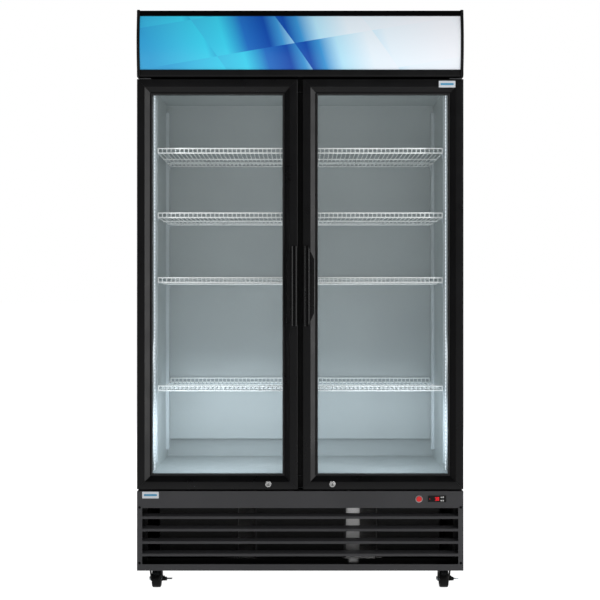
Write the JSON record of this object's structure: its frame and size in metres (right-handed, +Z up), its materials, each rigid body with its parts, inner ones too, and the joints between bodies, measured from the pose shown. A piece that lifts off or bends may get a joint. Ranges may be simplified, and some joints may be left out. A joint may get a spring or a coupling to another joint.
{
  "type": "glass door merchandiser",
  "caption": "Upright two-door glass display fridge on swivel casters, with a lit sign panel, wire shelves and a louvred base.",
  "frame": {"origin": "on the floor under the middle of the cabinet", "axes": "+Z up, the doors face -Y, +X to the right of a person facing the doors"},
  "size_m": [1.12, 0.7, 2],
  "materials": {
    "black_paint": "satin",
    "door_profile": "satin",
    "grille_paint": "satin",
    "liner": "satin",
    "foam": "matte",
    "galvanised": "satin",
    "zinc": "satin",
    "lock_metal": "polished",
    "sign_acrylic": "gloss",
    "glass": "gloss",
    "gasket_rubber": "matte",
    "wheel_rubber": "satin",
    "shelf_wire": "satin",
    "strip_metal": "satin",
    "fins": "satin",
    "machine_black": "satin",
    "fan_plastic": "matte",
    "controller": "gloss",
    "red_switch": "gloss",
    "key_plastic": "matte"
  },
  "bodies": {
    "cabinet": {"outer_shell": "black_paint", "insulation_foam": "foam", "inner_liner": "liner", "centre_mullion": "black_paint", "base_tray": "black_paint", "front_grille": "grille_paint", "rear_grille": "galvanised", "canopy_housing": "black_paint", "canopy_end_cap_left": "black_paint", "canopy_end_cap_right": "black_paint", "sign_panel": "sign_acrylic", "air_duct_panel": "liner", "evaporator_coil": "fins", "compressor": "machine_black", "condenser_coil": "fins", "condenser_fan_shroud": "fan_plastic", "thermostat_module": "controller", "pilaster_left_front": "strip_metal", "pilaster_left_rear": "strip_metal", "pilaster_right_front": "strip_metal", "pilaster_right_rear": "strip_metal", "shelf_left_1": "shelf_wire", "shelf_left_2": "shelf_wire", "shelf_left_3": "shelf_wire", "shelf_left_4": "shelf_wire", "shelf_right_1": "shelf_wire", "shelf_right_2": "shelf_wire", "shelf_right_3": "shelf_wire", "shelf_right_4": "shelf_wire", "hinge_bottom_left": "zinc", "hinge_top_left": "zinc", "hinge_bottom_right": "zinc", "hinge_top_right": "zinc"},
    "door_left": {"door_frame_left": "door_profile", "glass_unit_left": "glass", "gasket_left": "gasket_rubber", "handle_left": "door_profile"},
    "lock_left": {"lock_left": "lock_metal"},
    "door_right": {"door_frame_right": "door_profile", "glass_unit_right": "glass", "gasket_right": "gasket_rubber", "handle_right": "door_profile"},
    "lock_right": {"lock_right": "lock_metal"},
    "rocker": {"rocker_switch": "red_switch"},
    "key_1": {"controller_key_1": "key_plastic"},
    "key_2": {"controller_key_2": "key_plastic"},
    "key_3": {"controller_key_3": "key_plastic"},
    "key_4": {"controller_key_4": "key_plastic"},
    "caster_front_left": {"caster_fork_front_left": "zinc"},
    "wheel_front_left": {"caster_wheel_front_left": "wheel_rubber"},
    "brake_front_left": {"brake_lever_front_left": "zinc"},
    "caster_front_right": {"caster_fork_front_right": "zinc"},
    "wheel_front_right": {"caster_wheel_front_right": "wheel_rubber"},
    "brake_front_right": {"brake_lever_front_right": "zinc"},
    "caster_rear_left": {"caster_fork_rear_left": "zinc"},
    "wheel_rear_left": {"caster_wheel_rear_left": "wheel_rubber"},
    "caster_rear_right": {"caster_fork_rear_right": "zinc"},
    "wheel_rear_right": {"caster_wheel_rear_right": "wheel_rubber"},
    "condenser_fan": {"condenser_fan_blade": "fan_plastic"},
    "evaporator_fan": {"evaporator_fan_blade": "fan_plastic"}
  },
  "joints": [
    {"name": "door_left_hinge", "type": "hinge", "parent": "cabinet", "child": "door_left", "pos_m": [-0.548, -0.305, 1.0575], "axis": [0, 0, -1], "range_deg": [0, 110], "stiffness_Nm_per_rad": 2},
    {"name": "lock_left_turn", "type": "hinge", "parent": "door_left", "child": "lock_left", "pos_m": [-0.11, -0.31, 0.3725], "axis": [0, 1, 0], "range_deg": [0, 90]},
    {"name": "door_right_hinge", "type": "hinge", "parent": "cabinet", "child": "door_right", "pos_m": [0.548, -0.305, 1.0575], "axis": [0, 0, 1], "range_deg": [0, 110], "stiffness_Nm_per_rad": 2},
    {"name": "lock_right_turn", "type": "hinge", "parent": "door_right", "child": "lock_right", "pos_m": [0.11, -0.31, 0.3725], "axis": [0, 1, 0], "range_deg": [0, 90]},
    {"name": "rocker_tilt", "type": "hinge", "parent": "cabinet", "child": "rocker", "pos_m": [0.4075, -0.325, 0.321], "axis": [1, 0, 0], "range_deg": [-7, 7]},
    {"name": "key_1_press", "type": "slide", "parent": "cabinet", "child": "key_1", "axis": [0, 1, 0], "range_m": [0, 0.0008], "stiffness_N_per_m": 400},
    {"name": "key_2_press", "type": "slide", "parent": "cabinet", "child": "key_2", "axis": [0, 1, 0], "range_m": [0, 0.0008], "stiffness_N_per_m": 400},
    {"name": "key_3_press", "type": "slide", "parent": "cabinet", "child": "key_3", "axis": [0, 1, 0], "range_m": [0, 0.0008], "stiffness_N_per_m": 400},
    {"name": "key_4_press", "type": "slide", "parent": "cabinet", "child": "key_4", "axis": [0, 1, 0], "range_m": [0, 0.0008], "stiffness_N_per_m": 400},
    {"name": "swivel_front_left", "type": "hinge", "parent": "cabinet", "child": "caster_front_left", "pos_m": [-0.501, -0.261, 0.07], "axis": [0, 0, 1], "continuous": true},
    {"name": "roll_front_left", "type": "hinge", "parent": "caster_front_left", "child": "wheel_front_left", "pos_m": [-0.501, -0.239, 0.0315], "axis": [1, 0, 0], "continuous": true},
    {"name": "brake_front_left_press", "type": "hinge", "parent": "caster_front_left", "child": "brake_front_left", "pos_m": [-0.501, -0.239, 0.0315], "axis": [-1, 0, 0], "range_deg": [0, 30]},
    {"name": "swivel_front_right", "type": "hinge", "parent": "cabinet", "child": "caster_front_right", "pos_m": [0.501, -0.261, 0.07], "axis": [0, 0, 1], "continuous": true},
    {"name": "roll_front_right", "type": "hinge", "parent": "caster_front_right", "child": "wheel_front_right", "pos_m": [0.501, -0.239, 0.0315], "axis": [1, 0, 0], "continuous": true},
    {"name": "brake_front_right_press", "type": "hinge", "parent": "caster_front_right", "child": "brake_front_right", "pos_m": [0.501, -0.239, 0.0315], "axis": [-1, 0, 0], "range_deg": [0, 30]},
    {"name": "swivel_rear_left", "type": "hinge", "parent": "cabinet", "child": "caster_rear_left", "pos_m": [-0.501, 0.25, 0.07], "axis": [0, 0, 1], "continuous": true},
    {"name": "roll_rear_left", "type": "hinge", "parent": "caster_rear_left", "child": "wheel_rear_left", "pos_m": [-0.501, 0.272, 0.0315], "axis": [1, 0, 0], "continuous": true},
    {"name": "swivel_rear_right", "type": "hinge", "parent": "cabinet", "child": "caster_rear_right", "pos_m": [0.501, 0.25, 0.07], "axis": [0, 0, 1], "continuous": true},
    {"name": "roll_rear_right", "type": "hinge", "parent": "caster_rear_right", "child": "wheel_rear_right", "pos_m": [0.501, 0.272, 0.0315], "axis": [1, 0, 0], "continuous": true},
    {"name": "condenser_fan_spin", "type": "hinge", "parent": "cabinet", "child": "condenser_fan", "pos_m": [0, -0.24, 0.222], "axis": [0, 1, 0], "continuous": true},
    {"name": "evaporator_fan_spin", "type": "hinge", "parent": "cabinet", "child": "evaporator_fan", "pos_m": [0, -0.165, 1.85], "axis": [0, 1, 0], "continuous": true}
  ]
}
